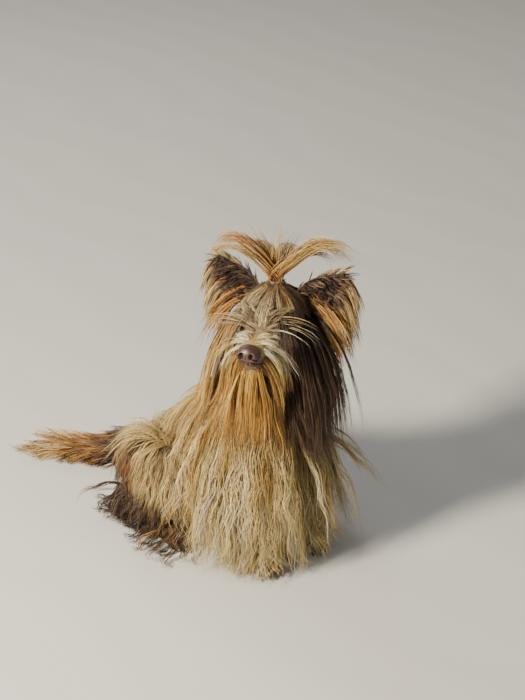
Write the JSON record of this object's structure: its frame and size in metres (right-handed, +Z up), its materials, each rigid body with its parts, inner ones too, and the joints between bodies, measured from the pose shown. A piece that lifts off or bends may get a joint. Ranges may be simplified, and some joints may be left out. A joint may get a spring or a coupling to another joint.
{
  "type": "sitting yorkshire terrier model",
  "caption": "Still, life-size model of a small long-coated terrier, sitting with its head turned to its right and its head hair tied up in a soft band.",
  "frame": {"origin": "middle of the model's bounding box, on the floor under it", "axes": "+X the dog's own left, +Y from the chest towards the tail, +Z up; the chest faces -Y and the face is turned to the dog's right and forward"},
  "size_m": [0.2494, 0.4302, 0.3502],
  "materials": {
    "chocolate_coat": "long silky hair, dark chocolate brown",
    "golden_coat": "long silky hair, golden tan",
    "cream_coat": "long silky hair, cream to blond",
    "nose_leather": "moist, finely pebbled, liver brown",
    "eye": "wet and glossy, dark amber brown",
    "hair_band": "soft elastic cord, coral pink"
  },
  "bodies": {
    "root": {"torso": "cream_coat", "neck": "cream_coat", "head": "golden_coat", "jaw": "golden_coat", "nose": "nose_leather", "eye_left": "eye", "eye_right": "eye", "ear_left": "chocolate_coat", "ear_right": "chocolate_coat", "topknot": "golden_coat", "hair_band": "hair_band", "tail": "chocolate_coat", "foreleg_left": "cream_coat", "foreleg_right": "cream_coat", "forepaw_left": "cream_coat", "forepaw_right": "cream_coat", "thigh_left": "cream_coat", "thigh_right": "cream_coat", "shank_left": "chocolate_coat", "shank_right": "chocolate_coat", "hindpaw_left": "chocolate_coat", "hindpaw_right": "chocolate_coat"}
  },
  "joints": []
}
